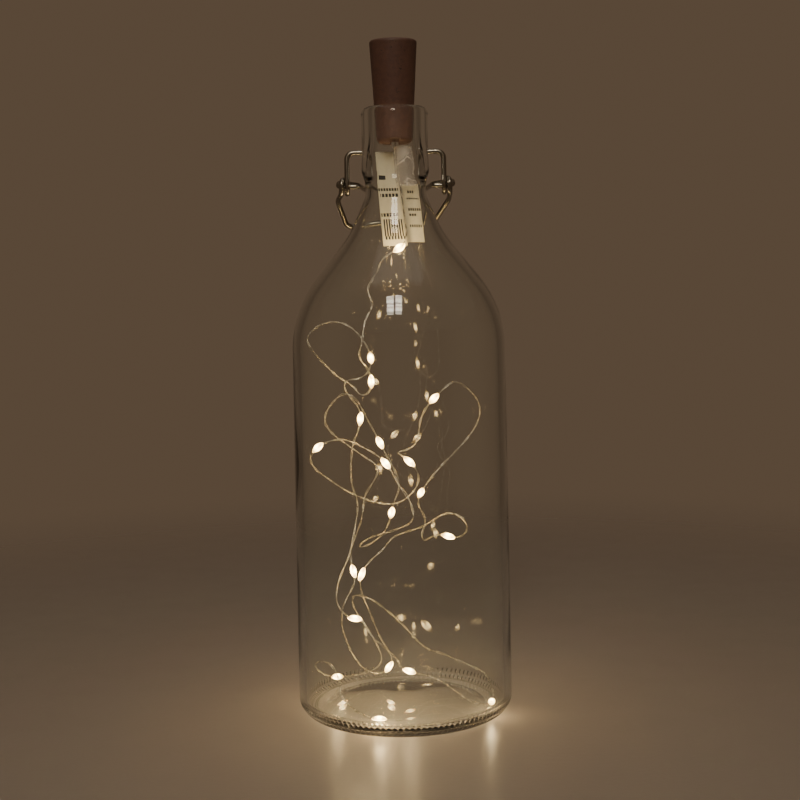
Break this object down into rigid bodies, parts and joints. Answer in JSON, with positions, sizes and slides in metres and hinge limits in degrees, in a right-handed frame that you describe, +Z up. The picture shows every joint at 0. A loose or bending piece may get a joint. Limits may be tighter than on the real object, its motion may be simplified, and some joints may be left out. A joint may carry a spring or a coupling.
{
  "type": "cork bottle light",
  "caption": "Swing-top glass bottle with a cork-look battery light plug in its mouth and a tangled string of warm lights inside.",
  "frame": {"origin": "middle of the resting ring under the bottle, on the bottle's axis", "axes": "+Z up the bottle's axis towards the plug, +X to the right of the picture's viewer, +Y away from the viewer, towards the laid-back bail"},
  "size_m": [0.0912, 0.0912, 0.288],
  "materials": {
    "bottle_glass": "clear, polished",
    "closure_steel": "zinc plated, drawn",
    "cork_brown": "cork-look, satin",
    "cap_brown": "moulded, satin",
    "switch_black": "moulded",
    "switch_case": "moulded",
    "holder_black": "moulded",
    "cell_steel": "nickel plated",
    "contact_brass": "bright",
    "spring_steel": "nickel plated",
    "board_green": "solder resist",
    "resistor_black": "ceramic chip",
    "lead_black": "insulated",
    "seal_resin": "set glue",
    "string_silver": "enamelled twin wire",
    "bead_resin": "clear resin",
    "chip_yellow": "phosphor",
    "label_paper": "printed sheet",
    "label_clear": "clear film"
  },
  "bodies": {
    "bottle": {"glass_bottle": "bottle_glass"},
    "lever": {"lever_wire": "closure_steel"},
    "bail": {"stopper_bail": "closure_steel"},
    "cork_light": {"cork_shell": "cork_brown", "board_contacts": "contact_brass", "circuit_board": "board_green", "board_resistor": "resistor_black", "lead_wires": "lead_black", "exit_seal": "seal_resin", "fairy_wire": "string_silver", "led_beads": "bead_resin", "led_chips": "chip_yellow", "label_left_leaf": "label_paper", "label_right_leaf": "label_paper", "label_film": "label_clear"},
    "battery_holder": {"top_cap": "cap_brown", "switch_body": "switch_case", "battery_carrier": "holder_black", "button_cells": "cell_steel", "cell_spring": "spring_steel", "cell_plate": "spring_steel", "carrier_rails": "contact_brass"},
    "switch": {"switch_slider": "switch_black"}
  },
  "joints": [
    {"name": "lever_hinge", "type": "hinge", "parent": "bottle", "child": "lever", "pos_m": [0, 0, 0.2395], "axis": [1, 0, 0], "range_deg": [0, 60]},
    {"name": "bail_hinge", "type": "hinge", "parent": "lever", "child": "bail", "pos_m": [0, 0, 0.2249], "axis": [1, 0, 0], "range_deg": [-34, 30]},
    {"name": "cork_pull", "type": "slide", "parent": "bottle", "child": "cork_light", "axis": [0, 0, 1], "range_m": [0, 0.018], "deforming": ["fairy_wire", "led_beads", "led_chips", "label_left_leaf", "label_right_leaf", "label_film"]},
    {"name": "holder_pull", "type": "slide", "parent": "cork_light", "child": "battery_holder", "axis": [0, 0, 1], "range_m": [0, 0.036]},
    {"name": "switch_slide", "type": "slide", "parent": "battery_holder", "child": "switch", "axis": [1, 0, 0], "range_m": [0, 0.0022]}
  ]
}
